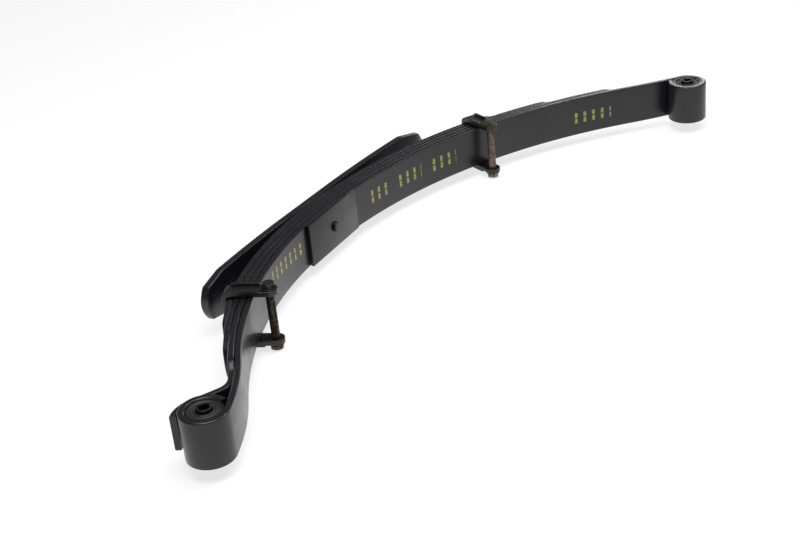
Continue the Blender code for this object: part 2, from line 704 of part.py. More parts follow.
def main():
    clear_scene()
    parts = new_collection(PART)
    drawings = new_collection("cutters")
    front_pivot = pivot("front", -PIVOT_SHARE * FRONT_LENGTH, parts)
    rear_pivot = pivot("rear", PIVOT_SHARE * REAR_LENGTH, parts)
    rivets = [rivet_hole("fourth_leaf_front_rivet", -FRONT_CLIP_AT)]
    rivets.append(rivet_hole("fourth_leaf_rear_rivet", REAR_CLIP_AT))
    fixed = [
        main_leaf(drawings),
        second_leaf(drawings),
        plain_leaf("third_leaf", THIRD_FRONT, THIRD_REAR, 2, drawings),
        plain_leaf("fourth_leaf", FOURTH_FRONT, FOURTH_REAR, 3, drawings, rivets),
        overload_leaf(drawings),
        caster_wedge(drawings),
        centre_bolt(),
        centre_nut(drawings),
    ]
    for item in fixed:
        parts.objects.link(item)
    bush("front", FRONT_EYE, front_pivot, parts)
    bush("rear", REAR_EYE, rear_pivot, parts)
    clip("front", -FRONT_CLIP_AT, front_pivot, parts, drawings)
    clip("rear", REAR_CLIP_AT, rear_pivot, parts, drawings)
    for item in parts.objects:
        if item.type == "MESH":
            rule = next(row for row in colours() if row[0] in item.name)
            paint(item, new_material(item.name + "_material", *rule[1:]))
    for cutter in drawings.objects:
        cutter.parent = next(
            (piece.parent for piece in parts.objects
             if piece.type == "MESH" and any(m.type == "BOOLEAN" and m.object == cutter for m in piece.modifiers)),
            None,
        )


main()
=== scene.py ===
# %% [markdown]
# # A leaf spring with an overload leaf
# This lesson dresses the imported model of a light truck's rear leaf spring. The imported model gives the
# frame: every solid, where it sits and how it moves. Here each piece gets its rounded edges, its small
# details and its finish. Everything is in metres: +X runs from the front eye to the rear eye, +Y goes to
# the outside of the arch, and +Z goes up across the leaves, because the spring lies on its side.

import math

import bmesh
import bpy
from mathutils import Matrix, Vector


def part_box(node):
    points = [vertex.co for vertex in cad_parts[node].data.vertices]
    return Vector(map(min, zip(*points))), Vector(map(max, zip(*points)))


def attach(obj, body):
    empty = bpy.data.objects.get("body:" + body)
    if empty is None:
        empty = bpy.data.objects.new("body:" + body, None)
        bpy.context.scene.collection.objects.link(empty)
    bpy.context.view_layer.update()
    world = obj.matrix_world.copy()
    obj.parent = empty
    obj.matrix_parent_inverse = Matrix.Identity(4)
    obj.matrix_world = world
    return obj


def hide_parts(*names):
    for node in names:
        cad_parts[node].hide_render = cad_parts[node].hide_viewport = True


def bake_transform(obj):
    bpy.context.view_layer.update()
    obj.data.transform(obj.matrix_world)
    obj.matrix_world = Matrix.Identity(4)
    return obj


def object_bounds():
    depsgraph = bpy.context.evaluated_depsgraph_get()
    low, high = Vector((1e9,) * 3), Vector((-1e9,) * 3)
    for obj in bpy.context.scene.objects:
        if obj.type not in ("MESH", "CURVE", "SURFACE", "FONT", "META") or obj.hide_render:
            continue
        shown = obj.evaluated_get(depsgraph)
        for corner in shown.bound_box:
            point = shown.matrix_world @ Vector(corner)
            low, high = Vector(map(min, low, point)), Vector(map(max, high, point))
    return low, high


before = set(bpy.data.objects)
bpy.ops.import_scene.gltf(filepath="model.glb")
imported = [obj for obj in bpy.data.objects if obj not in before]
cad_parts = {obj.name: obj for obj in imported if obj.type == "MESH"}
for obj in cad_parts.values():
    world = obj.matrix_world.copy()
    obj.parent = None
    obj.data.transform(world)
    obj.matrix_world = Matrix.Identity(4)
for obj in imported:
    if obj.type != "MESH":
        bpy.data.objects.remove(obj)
CAD_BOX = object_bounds()
MM = 0.001

# %% [markdown]
# ## Helpers for node trees
# A material or a Geometry Nodes tree is a set of nodes and links. One small function that adds a node with
# its settings, values and links keeps each tree short enough to read. Colours are written as sRGB hex
# values, as a paint chart gives them, and one function turns them into the linear values Blender mixes.

# %% Colours and nodes
def linear(hex_colour):
    """Linear red, green, blue and alpha of an sRGB hex colour."""
    values = [int(hex_colour[i:i + 2], 16) / 255 for i in (1, 3, 5)]
    return [v / 12.92 if v <= 0.04045 else ((v + 0.055) / 1.055) ** 2.4 for v in values] + [1.0]


def add(tree, kind, inputs=None, **settings):
    """Adds a node; an input's value is either a number or another node's output."""
    node = tree.nodes.new(kind)
    for key, value in settings.items():
        setattr(node, key, value)
    for key, value in (inputs or {}).items():
        if isinstance(value, bpy.types.NodeSocket):
            tree.links.new(value, node.inputs[key])
        else:
            node.inputs[key].default_value = value
    return node


def start_material(name, **values):
    """A new material with one shader; values are set on the shader's own sockets."""
    material = bpy.data.materials.new(name)
    material.use_nodes = True
    tree = material.node_tree
    shader = tree.nodes["Principled BSDF"]
    for key, value in values.items():
        shader.inputs[key.replace("_", " ")].default_value = value
    return material, tree, shader


def noise(tree, coordinates, feature, detail=2.0, offset=(0, 0, 0)):
    """Noise whose blotches are about one feature size across, in metres."""
    place = add(tree, "ShaderNodeMapping", {"Vector": coordinates, "Location": offset})
    return add(tree, "ShaderNodeTexNoise",
               {"Vector": place.outputs["Vector"], "Scale": 1 / feature, "Detail": detail}).outputs["Fac"]


def ramp(tree, value, low, high, start=0.0, end=1.0):
    """Value carried from the range low to high onto the range start to end, and held there."""
    return add(tree, "ShaderNodeMapRange",
               {"Value": value, "From Min": low, "From Max": high, "To Min": start, "To Max": end}
               ).outputs["Result"]


def mix(tree, share, first, second):
    """Colour between two others."""
    node = add(tree, "ShaderNodeMix", data_type="RGBA")
    for socket, value in ((node.inputs[0], share), (node.inputs[6], first), (node.inputs[7], second)):
        if isinstance(value, bpy.types.NodeSocket):
            tree.links.new(value, socket)
        else:
            socket.default_value = value
    return node.outputs[2]


def bumped(tree, shader, height, distance):
    """Gives the shader a bump from a height, as deep as the distance in metres."""
    bump = add(tree, "ShaderNodeBump", {"Height": height, "Distance": distance, "Strength": 1.0})
    tree.links.new(bump.outputs["Normal"], shader.inputs["Normal"])


def math_node(tree, operation, first, second=0.0):
    return add(tree, "ShaderNodeMath", {0: first, 1: second}, operation=operation).outputs[0]


print("red of #808080 in linear light:", round(linear("#808080")[0], 3))

# %% [markdown]
# ## Black chassis enamel on rolled spring steel
# Leaves are cut from hot-rolled bar, heat treated, shot peened and dipped in black enamel. The paint is a
# dielectric: it shines most where it is seen at a low angle, so its IOR stays near 1.5 and its colour is
# nearly black. What gives it life is the wavy skin of the dried paint, about 2 mm from crest to crest, the
# shot-peened grain under it, faint drag lines along the bar, and pale dust in the paint.
# Yellow stencil marks are sprayed on the main leaf at the works. Here they are plain bars, placed by the
# distance along the leaf, which every leaf carries as an attribute called station.

# %% Enamel
PAINT_WAVE = 2.2 * MM
PEENING = 0.9 * MM  # real shot dents are near 0.3 mm: drawn coarser so that they show
DRAG_ACROSS = 1.6 * MM
DRAG_ALONG = 90 * MM
CLOUD = 110 * MM
DUST = 2.5 * MM
PAINT_DEPTH = 0.01 * MM


def enamel(name, dark, pale, rough_low, rough_high, tree_hook=None):
    """Black enamel; tree_hook may paint something over the plain colour."""
    material, tree, shader = start_material(name, IOR=1.5)
    place = add(tree, "ShaderNodeTexCoord").outputs["Object"]
    clouds = noise(tree, place, CLOUD, 3.0)
    colour = mix(tree, ramp(tree, clouds, 0.35, 0.68), linear(dark), linear(pale))
    dust = ramp(tree, noise(tree, place, DUST, 4.0, (3, 1, 2)), 0.66, 0.8, 0.0, 0.22)
    colour = mix(tree, dust, colour, linear("#5d5c58"))
    rough = ramp(tree, noise(tree, place, CLOUD / 4, 4.0, (7, 5, 1)), 0.3, 0.7, rough_low, rough_high)
    if tree_hook:
        colour, rough = tree_hook(tree, place, colour, rough)
    tree.links.new(colour, shader.inputs["Base Color"])
    tree.links.new(rough, shader.inputs["Roughness"])
    wave = noise(tree, place, PAINT_WAVE, 1.0)
    grain = noise(tree, place, PEENING, 2.0, (1, 2, 3))
    height = math_node(tree, "MULTIPLY_ADD", grain, 0.35)
    tree.links.new(wave, height.node.inputs[2])
    bumped(tree, shader, height, PAINT_DEPTH)
    return material


def bar_place(tree, place):
    """Distance along the bar and height across it."""
    along = add(tree, "ShaderNodeAttribute", attribute_name="station").outputs["Fac"]
    return along, add(tree, "ShaderNodeSeparateXYZ", {"Vector": place}).outputs["Z"]


def drag_lines(tree, place, colour, rough):
    """Faint lines along the bar, from rolling and wiping."""
    along, across = bar_place(tree, place)
    line = add(tree, "ShaderNodeCombineXYZ",
               {"X": math_node(tree, "DIVIDE", along, DRAG_ALONG),
                "Y": math_node(tree, "DIVIDE", across, DRAG_ACROSS)})
    lines = add(tree, "ShaderNodeTexNoise", {"Vector": line.outputs[0], "Scale": 1.0, "Detail": 2.0})
    amount = ramp(tree, lines.outputs["Fac"], 0.35, 0.75, -0.03, 0.05)
    return colour, math_node(tree, "ADD", rough, amount)


# Stencil bars in mm: start and end along the leaf, middle height at each end, bar height
STENCIL_BARS = (
    (-178, -82, 12, 6, 17),
    (96, 138, 1, 1, 19),
    (158, 204, 1, 1, 19),
    (228, 274, 0, 0, 19),
    (494, 556, -2, -3, 17),
)
BAR_PITCH = 15 * MM
BAR_SHARE = 0.3
BRIDGE = 1.8 * MM


def stencil(tree, place, colour, rough):
    """Plain upright bars with a bridge in the middle, worn by dust."""
    colour, rough = drag_lines(tree, place, colour, rough)
    along, across = bar_place(tree, place)
    painted = None
    for bars in STENCIL_BARS:
        start, end, middle_start, middle_end, height = (size * MM for size in bars)
        from_start = math_node(tree, "SUBTRACT", along, start)
        cell = math_node(tree, "FRACT", math_node(tree, "DIVIDE", from_start, BAR_PITCH))
        middle = ramp(tree, along, start, end, middle_start, middle_end)
        off = math_node(tree, "ABSOLUTE", math_node(tree, "SUBTRACT", across, middle))
        tests = [
            math_node(tree, "GREATER_THAN", along, start),
            math_node(tree, "LESS_THAN", along, end),
            math_node(tree, "LESS_THAN", cell, BAR_SHARE),
            math_node(tree, "LESS_THAN", off, height / 2),
            math_node(tree, "GREATER_THAN", off, BRIDGE / 2),
        ]
        bar = tests[0]
        for test in tests[1:]:
            bar = math_node(tree, "MULTIPLY", bar, test)
        painted = bar if painted is None else math_node(tree, "MAXIMUM", painted, bar)
    worn = ramp(tree, noise(tree, place, 2.2 * MM, 3.0, (4, 4, 4)), 0.3, 0.55, 0.25, 0.9)
    share = math_node(tree, "MULTIPLY", painted, worn)
    return mix(tree, share, colour, linear("#a3a63c")), rough


LEAF_PAINT = enamel("leaf_black_enamel", "#0d0d10", "#17171b", 0.25, 0.34, drag_lines)
MAIN_LEAF_PAINT = enamel("main_leaf_black_enamel", "#0d0d10", "#17171b", 0.25, 0.34, stencil)
PLAIN_PAINT = enamel("fitting_black_enamel", "#0a0a0b", "#131314", 0.26, 0.38)
print("enamels:", LEAF_PAINT.name, MAIN_LEAF_PAINT.name, PLAIN_PAINT.name)

# %% [markdown]
# ## Plated steel that has gone brown
# The cross bolts and nuts are zinc plated. Zinc is a metal, so its colour is its reflection: metallic is
# near one and the IOR stays at its default. Plating dulls in patches, and rust starts where a spanner has
# marked it. Two noises, one in patches of 6 mm and one in grains of 0.8 mm, mix the plating's colour with
# the stain's.

# %% Metals
def plated(name, clean, stained, stain_share, roughness, metallic=0.85):
    """Plated steel with a stain over part of it."""
    material, tree, shader = start_material(name, Metallic=metallic)
    place = add(tree, "ShaderNodeTexCoord").outputs["Object"]
    patches = noise(tree, place, 6 * MM, 4.0)
    grains = noise(tree, place, 0.8 * MM, 2.0, (2, 6, 4))
    patchy = math_node(tree, "MULTIPLY_ADD", grains, 0.25)
    tree.links.new(patches, patchy.node.inputs[2])
    middle = 0.62 + 0.3 * (0.5 - stain_share)
    stain = ramp(tree, patchy, middle - 0.1, middle + 0.1)
    tree.links.new(mix(tree, stain, linear(clean), linear(stained)), shader.inputs["Base Color"])
    rough = ramp(tree, stain, 0.0, 1.0, roughness, min(1.0, roughness + 0.3))
    tree.links.new(rough, shader.inputs["Roughness"])
    bumped(tree, shader, patchy, 0.04 * MM)
    return material


METALS = {
    "front_clip_bolt": plated("browned_plated_steel", "#4a423a", "#2b211a", 0.6, 0.42),
    "rear_clip_bolt": plated("copper_browned_steel", "#6f6358", "#5d4638", 0.4, 0.4),
    "front_clip_nut": plated("rusted_plated_steel", "#4d4138", "#6b4526", 0.55, 0.5, 0.6),
    "rear_clip_nut": plated("grey_zinc_plated_steel", "#7d8078", "#4f514a", 0.4, 0.4),
    "front_clip_washer": plated("dull_plated_steel", "#3c3a36", "#2a2622", 0.5, 0.45),
    "rear_clip_washer": plated("olive_zinc_plated_steel", "#5c5a4a", "#453f30", 0.45, 0.42),
    "sleeve": plated("blackened_machined_steel", "#2e2e30", "#1d1c1c", 0.4, 0.34),
}
print("metals:", len(METALS))

# %% [markdown]
# ## Moulded rubber
# Bush rubber is natural rubber filled with carbon black, moulded against a machined steel tool. It is
# darker and flatter than the paint, with a fine bloom of wax on it and shallow tool marks.

# %% Rubber
def moulded_rubber(name):
    material, tree, shader = start_material(name, IOR=1.52)
    place = add(tree, "ShaderNodeTexCoord").outputs["Object"]
    bloom = ramp(tree, noise(tree, place, 9 * MM, 4.0), 0.4, 0.7)
    colour = mix(tree, bloom, linear("#0d0d0e"), linear("#1b1b1c"))
    tree.links.new(colour, shader.inputs["Base Color"])
    tree.links.new(ramp(tree, bloom, 0.0, 1.0, 0.48, 0.62), shader.inputs["Roughness"])
    bumped(tree, shader, noise(tree, place, 0.7 * MM, 3.0), 0.03 * MM)
    return material


RUBBER = moulded_rubber("moulded_black_rubber")
print("rubber:", RUBBER.name)

# %% [markdown]
# ## The camber line
# A leaf spring's arch is a chain of circular arcs that start level at the centre bolt. Each half is given
# as arc lengths and radii, and a negative radius bends the other way, as it does where the leaf runs into
# the front eye. A place on the pack is then a station, which is the distance along the main leaf's inner
# face, and a distance out from that face.

# %% Camber
FRONT_ARCS = ((150 * MM, 650 * MM), (250 * MM, 618 * MM), (103 * MM, -403 * MM))
REAR_ARCS = ((350 * MM, 735 * MM), (240 * MM, 765 * MM), (86 * MM, -751 * MM))
FRONT_LENGTH = sum(length for length, radius in FRONT_ARCS)
REAR_LENGTH = sum(length for length, radius in REAR_ARCS)
LEAF_HALF_WIDTH = 30 * MM
LEAF_THICKNESS = 7.8 * MM
LEAF_PITCH = 8.3 * MM
EYE_RADIUS = 29 * MM
OVERLOAD_THICKNESS = 10.5 * MM

# The pack's four leaves fill the room under the overload leaf
INNER_FACE_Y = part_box("overload_leaf")[1].y - OVERLOAD_THICKNESS - 4 * LEAF_PITCH


def frame_at(station, out=0.0):
    """Point, direction away from the bolt and direction out of the arch at a station."""
    side = -1 if station < 0 else 1
    x, y, turn, left = 0.0, 0.0, 0.0, abs(station)
    for length, radius in FRONT_ARCS if side < 0 else REAR_ARCS:
        step = min(left, length)
        end = turn + step / radius
        x += radius * (math.sin(end) - math.sin(turn))
        y -= radius * (math.cos(turn) - math.cos(end))
        turn, left = end, left - step
    normal = Vector((side * math.sin(turn), math.cos(turn), 0))
    along = Vector((side * math.cos(turn), -math.sin(turn), 0))
    return Vector((side * x, y + INNER_FACE_Y, 0)) + out * normal, along, normal


def eye_of(side):
    """Centre of an eye, and the angle round it where the leaf arrives."""
    if side == "front":
        centre, _, normal = frame_at(-FRONT_LENGTH, EYE_RADIUS)
        return centre, math.atan2(-normal.y, -normal.x)
    centre, _, normal = frame_at(REAR_LENGTH, LEAF_THICKNESS - EYE_RADIUS)
    return centre, math.atan2(normal.y, normal.x)


FRONT_EYE, FRONT_EYE_START = eye_of("front")
REAR_EYE, REAR_EYE_START = eye_of("rear")
print("eye to eye, mm:", round((REAR_EYE - FRONT_EYE).length / MM))

# %% [markdown]
# ## A bar that follows a path
# Every leaf is the same thing: a flat bar with softly rounded edges that follows a line, and so is a clip
# strap. It could be extruded by hand, but a Geometry Nodes tree does it once for all: it turns a line of
# points into a curve, sweeps a section along it, and narrows the bar where the line says so. The line
# carries two numbers at each point: its station, for the paint, and its share of the full width, for the
# tapered tips. Curve to Mesh hands both on to the new surface.

# %% The bar tree
def start_tree(name, **sockets):
    """Geometry Nodes tree with these named inputs, and the outputs of its input node."""
    tree = bpy.data.node_groups.new(name, "GeometryNodeTree")
    tree.interface.new_socket("Geometry", in_out="OUTPUT", socket_type="NodeSocketGeometry")
    for label, kind in sockets.items():
        tree.interface.new_socket(label, in_out="INPUT", socket_type="NodeSocket" + kind)
    return tree, add(tree, "NodeGroupInput").outputs


def end_tree(tree, shape, finish):
    """Ends a tree with its shape made real and given its finish."""
    real = add(tree, "GeometryNodeRealizeInstances", {0: shape})
    done = add(tree, "GeometryNodeSetMaterial", {0: real.outputs[0], "Material": finish})
    add(tree, "NodeGroupOutput", {0: done.outputs[0]})
    return tree


def bar_tree():
    """Sweeps Section along the line of the input mesh and scales its Z by the share attribute."""
    tree, given = start_tree("swept_bar", Geometry="Geometry", Section="Object", Finish="Material")
    line = add(tree, "GeometryNodeMeshToCurve", {0: given["Geometry"]})
    level = add(tree, "GeometryNodeSetCurveNormal", {0: line.outputs[0]}, mode="Z_UP")
    section = add(tree, "GeometryNodeObjectInfo", {"Object": given["Section"]})
    outline = add(tree, "GeometryNodeMeshToCurve", {0: section.outputs["Geometry"]})
    bar = add(tree, "GeometryNodeCurveToMesh",
              {"Curve": level.outputs[0], "Profile Curve": outline.outputs[0], "Fill Caps": True})
    share = add(tree, "GeometryNodeInputNamedAttribute", {"Name": "share"}, data_type="FLOAT")
    height = add(tree, "ShaderNodeSeparateXYZ", {0: add(tree, "GeometryNodeInputPosition").outputs[0]})
    less = math_node(tree, "SUBTRACT", share.outputs[0], 1.0)
    offset = add(tree, "ShaderNodeCombineXYZ", {"Z": math_node(tree, "MULTIPLY", height.outputs["Z"], less)})
    shaped = add(tree, "GeometryNodeSetPosition", {0: bar.outputs[0], "Offset": offset.outputs[0]})
    return end_tree(tree, shaped.outputs[0], given["Finish"])


BAR_TREE = bar_tree()


def line_object(name, points, closed=False, **attributes):
    """A mesh of points and edges that carries numbers at its points."""
    mesh = bpy.data.meshes.new(name)
    edges = [(i, i + 1) for i in range(len(points) - 1)]
    if closed:
        edges.append((len(points) - 1, 0))
    mesh.from_pydata([tuple(point) for point in points], edges, [])
    for key, values in attributes.items():
        mesh.attributes.new(key, "FLOAT", "POINT").data.foreach_set("value", values)
    item = bpy.data.objects.new(name, mesh)
    bpy.context.scene.collection.objects.link(item)
    return item


def section_object(name, half_width, thickness, corner, groove=None):
    """Rounded rectangle, Y across and X through; groove is (place, width, depth) on its outer face."""
    points = []
    for sign_x, sign_y, first in ((1, 1, 0), (-1, 1, 90), (-1, -1, 180), (1, -1, 270)):
        for i in range(5):
            angle = math.radians(first + 22.5 * i)
            points.append((sign_x * (half_width - corner) + corner * math.cos(angle),
                           sign_y * (thickness / 2 - corner) + corner * math.sin(angle), 0))
        if groove and first == 0:
            place, width, depth = groove
            top = thickness / 2
            points += [(place + width, top, 0), (place + 0.55 * width, top - 0.8 * depth, 0),
                       (place, top - depth, 0), (place - 0.55 * width, top - 0.8 * depth, 0),
                       (place - width, top, 0)]
    return line_object(name, [(through, across, 0) for across, through, level in points], closed=True)


def piece_of(name, mesh, finish):
    """Object of a finished mesh with one material."""
    mesh.name = name
    mesh.materials.clear()
    mesh.materials.append(finish)
    item = bpy.data.objects.new(name, mesh)
    bpy.context.scene.collection.objects.link(item)
    return item


def finished(name, mesh, finish, place, smooth_angle):
    """Piece of a mesh in its place: doubles merged, faces outwards, smooth up to an angle in degrees."""
    if place is not None:
        mesh.transform(place)
    work = bmesh.new()
    work.from_mesh(mesh)
    bmesh.ops.remove_doubles(work, verts=work.verts, dist=0.002 * MM)
    bmesh.ops.dissolve_degenerate(work, edges=work.edges, dist=0.001 * MM)
    bmesh.ops.recalc_face_normals(work, faces=work.faces)
    work.to_mesh(mesh)
    work.free()
    mesh.shade_smooth()
    mesh.set_sharp_from_angle(angle=math.radians(smooth_angle))
    return piece_of(name, mesh, finish)


def frozen(name, item, finish, place, smooth_angle):
    """Piece of what an object's modifiers make; the object itself is removed."""
    bpy.context.view_layer.update()
    graph = bpy.context.evaluated_depsgraph_get()
    mesh = bpy.data.meshes.new_from_object(item.evaluated_get(graph))
    bpy.data.objects.remove(item, do_unlink=True)
    return finished(name, mesh, finish, place, smooth_angle)


def grown(name, item, tree, finish, place, smooth_angle, **values):
    """Piece that a node tree makes of an object, with these values on the tree's named inputs."""
    modifier = item.modifiers.new("Shape", "NODES")
    modifier.node_group = tree
    sockets = {socket.name: socket.identifier for socket in tree.interface.items_tree
               if socket.in_out == "INPUT"}
    for key, value in {"Finish": finish, **values}.items():
        modifier[sockets[key]] = value
    return frozen(name, item, finish, place, smooth_angle)


def swept(name, points, section, finish, place=None, **attributes):
    """Bar of this section along the points."""
    line = line_object(name + "_line", points, **attributes)
    return grown(name, line, BAR_TREE, finish, place, 35, Section=section)


LEAF_SECTION = section_object("leaf_section", LEAF_HALF_WIDTH, LEAF_THICKNESS, 1.9 * MM)
print("bar tree nodes:", len(BAR_TREE.nodes))

# %% [markdown]
# ## Tapered tips
# The short leaves end in a tip that is sheared narrower over about 40 mm, so that each leaf hands its load
# on gently to the next, and the very end is slightly bowed. Both come from the share of the full width:
# it falls in a straight line along the taper and then as a flat curve to nothing over the last few
# millimetres. A tip is three sizes: the taper's length, the half width at its end, and the bow's depth.

# %% Leaf lines
EYE_TURN = math.radians(313)
EYE_STEPS = 110
LEAF_STEP = 6 * MM
PACK_TIP = (42 * MM, 19 * MM, 4 * MM)
OVERLOAD_FRONT_TIP = (43 * MM, 22.8 * MM, 9 * MM)
OVERLOAD_REAR_TIP = (49 * MM, 20.5 * MM, 8 * MM)
BOW_PLACES = (1.0, 0.8, 0.6, 0.42, 0.27, 0.15, 0.07, 0.02, 0.004)


def tip_share(left, tip=PACK_TIP):
    """Share of the full width when this much of the leaf is left."""
    taper, half_width, bow = tip
    end_share = half_width / LEAF_HALF_WIDTH
    if left >= taper:
        return 1.0
    if left >= bow:
        return end_share + (1 - end_share) * (left - bow) / (taper - bow)
    return end_share * math.sqrt(max(left, 0.0) / bow)


def places_to(length, tip=PACK_TIP):
    """Distances from the bolt to a tip: even steps, the start of the taper, then the bowed end."""
    taper, half_width, bow = tip
    count = round((length - taper) / LEAF_STEP)
    places = [(length - taper) * i / count for i in range(count + 1)]
    places += [length - taper + (taper - bow) * i / 6 for i in range(1, 6)]
    return places + [length - bow * share for share in BOW_PLACES]


def tipped_leaf(name, length, side, layer):
    """One half of a short leaf of the pack."""
    middle = LEAF_PITCH * layer + LEAF_THICKNESS / 2
    places = places_to(length)
    points = [frame_at(side * max(place, 1e-9), middle)[0] for place in places]
    shares = [tip_share(length - place) for place in places]
    stations = [side * place for place in places]
    return swept(name, points, LEAF_SECTION, LEAF_PAINT, share=shares, station=stations)


def steps_between(start, end, step):
    count = max(1, round(abs(end - start) / step))
    return [start + (end - start) * i / count for i in range(count + 1)]


def eyed_leaf(name, side):
    """One half of the main leaf, with its eye rolled clockwise about the eye's centre."""
    length = FRONT_LENGTH if side < 0 else REAR_LENGTH
    centre, first = (FRONT_EYE, FRONT_EYE_START) if side < 0 else (REAR_EYE, REAR_EYE_START)
    radius = EYE_RADIUS - LEAF_THICKNESS / 2
    places = steps_between(0, length, LEAF_STEP)
    points = [frame_at(side * max(place, 1e-9), LEAF_THICKNESS / 2)[0] for place in places]
    for i in range(1, EYE_STEPS + 1):
        angle = first - EYE_TURN * i / EYE_STEPS
        points.append(centre + radius * Vector((math.cos(angle), math.sin(angle), 0)))
        places.append(length + radius * EYE_TURN * i / EYE_STEPS)
    stations = [side * place for place in places]
    return swept(name, points, LEAF_SECTION, MAIN_LEAF_PAINT, share=[1.0] * len(points), station=stations)


print("width share 10 mm from a tip:", round(tip_share(10 * MM), 3))

# %% [markdown]
# ## The wrapped second leaf
# A broken main leaf must not let the axle go, so the second leaf runs on past the pack and wraps loosely
# over the front eye. It is cut narrower there to clear the hanger. Its line leaves the pack, bends once,
# runs straight and then follows a circle round the eye. The turn of the bend is found by halving an
# interval until the straight part just touches that circle.

# %% Second leaf's wrap
WRAP_CLEARANCE = 2.5 * MM
WRAP_START = 428 * MM
WRAP_BEND = 24 * MM
WRAP_END = math.radians(117)
WRAP_SHARE = 22 / 30
NECK_START = 396 * MM
NECK_END = 420 * MM


def turned_by(heading, angle):
    return Vector((math.cos(heading + angle), math.sin(heading + angle), 0))


def wrap_points():
    """Middle line of the wrap, from where it leaves the pack to its cut end."""
    start, along, normal = frame_at(-WRAP_START, LEAF_PITCH + LEAF_THICKNESS / 2)
    heading = math.atan2(along.y, along.x)
    radius = EYE_RADIUS + WRAP_CLEARANCE + LEAF_THICKNESS / 2
    bend_centre = start + WRAP_BEND * normal

    def side_way(turn):
        return turned_by(heading, -turn - math.pi / 2)

    low, high = 0.0, math.radians(110)
    for _ in range(60):
        turn = (low + high) / 2
        side = side_way(turn)
        if (bend_centre - WRAP_BEND * side - FRONT_EYE).dot(side) < radius:
            low = turn
        else:
            high = turn
    bend = [bend_centre - WRAP_BEND * side_way(turn * i / 16) for i in range(17)]
    side = side_way(turn)
    touch = math.atan2(side.y, side.x)
    straight_end = FRONT_EYE + radius * side
    straight = [bend[-1].lerp(straight_end, i / 8) for i in range(1, 8)]
    angles = steps_between(touch, WRAP_END, math.radians(3))
    return bend + straight + [FRONT_EYE + radius * turned_by(0, angle) for angle in angles]


def wrapped_half(name):
    middle = LEAF_PITCH + LEAF_THICKNESS / 2
    places = [0.0] + steps_between(LEAF_STEP, WRAP_START, LEAF_STEP)[:-1]
    points = [frame_at(-max(place, 1e-9), middle)[0] for place in places] + wrap_points()
    for before, after in zip(points[len(places) - 1:], points[len(places):]):
        places.append(places[-1] + (after - before).length)
    shares = []
    for place in places:
        t = min(1.0, max(0.0, (place - NECK_START) / (NECK_END - NECK_START)))
        shares.append(1 + (WRAP_SHARE - 1) * t * t * (3 - 2 * t))
    return swept(name, points, LEAF_SECTION, LEAF_PAINT, share=shares, station=[-p for p in places])


print("wrap points:", len(wrap_points()))

# %% [markdown]
# ## The springing halves
# Each half of the pack bends as the spring is loaded. The imported model has one hinge for each half. Here
# two lines across each half are worked out, one near the clamped middle and one towards the end that moves,
# but nothing bends the leaf between them. Every leaf is made as two halves that meet at the centre bolt,
# under the wedge.

# %% Make the leaves
SIDE = {"front": -1, "rear": 1}
BEND = {"front": (66 * MM, 236 * MM), "rear": (68 * MM, 310 * MM)}
# Halves with a tapered tip: leaf, end, length, place in the pack
TIPPED_HALVES = (
    ("second_leaf", "rear", 596 * MM, 1),
    ("third_leaf", "front", 362 * MM, 2),
    ("third_leaf", "rear", 492 * MM, 2),
    ("fourth_leaf", "front", 300 * MM, 3),
    ("fourth_leaf", "rear", 397 * MM, 3),
)


def finish_half(piece, node, end):
    """Hides the imported part that a half stands for and finds the places at the middle and at its end
    between which it would bend; nothing here bends it.
    """
    first, last = (frame_at(SIDE[end] * station)[0] for station in BEND[end])
    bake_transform(piece)
    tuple(first)
    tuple(last)
    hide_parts(node)
    print(piece.name, "faces:", len(piece.data.polygons))


for end, side in SIDE.items():
    finish_half(eyed_leaf(f"main_leaf_{end}", side), "main_leaf", end)
finish_half(wrapped_half("second_leaf_front"), "second_leaf", "front")
for node, end, length, layer in TIPPED_HALVES:
    finish_half(tipped_leaf(f"{node}_{end}", length, SIDE[end], layer), node, end)

# %% [markdown]
# ## Overload leaf
# The helper leaf is thicker and almost flat, and stays out of work until the pack has flattened onto it.
# It is the same kind of bar with a thicker section: flat in the middle, where the U-bolt plate sits, and
# slightly cambered outside it. It doesn't bend here, so it is one piece that rides on the middle.

# %% Overload leaf
OVERLOAD_FLAT = 50 * MM
OVERLOAD_CAMBER = 2200 * MM
OVERLOAD_FRONT = 250 * MM
OVERLOAD_REAR = 291 * MM
OVERLOAD_SECTION = section_object("overload_section", LEAF_HALF_WIDTH, OVERLOAD_THICKNESS, 2.2 * MM)


def overload_middle(x):
    """Middle of the leaf's thickness at a distance from the bolt."""
    turn = math.asin(max(0.0, abs(x) - OVERLOAD_FLAT) / OVERLOAD_CAMBER)
    side = -1 if x < 0 else 1
    out = OVERLOAD_THICKNESS / 2
    base = INNER_FACE_Y + 4 * LEAF_PITCH
    return Vector((x + side * out * math.sin(turn),
                   base - OVERLOAD_CAMBER * (1 - math.cos(turn)) + out * math.cos(turn), 0))


def overload():
    front = [-place for place in reversed(places_to(OVERLOAD_FRONT, OVERLOAD_FRONT_TIP))]
    rear = places_to(OVERLOAD_REAR, OVERLOAD_REAR_TIP)[1:]
    xs = front + rear
    shares = [tip_share(OVERLOAD_FRONT + x, OVERLOAD_FRONT_TIP) for x in front]
    shares += [tip_share(OVERLOAD_REAR - x, OVERLOAD_REAR_TIP) for x in rear]
    points = [overload_middle(x) for x in xs]
    return swept("overload_bar", points, OVERLOAD_SECTION, LEAF_PAINT, share=shares, station=xs)


def stand_for(piece, node, body):
    """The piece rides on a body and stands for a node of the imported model."""
    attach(piece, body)
    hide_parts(node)


stand_for(overload(), "overload_leaf", "pack")
print("overload leaf length, mm:", round((OVERLOAD_FRONT + OVERLOAD_REAR) / MM))

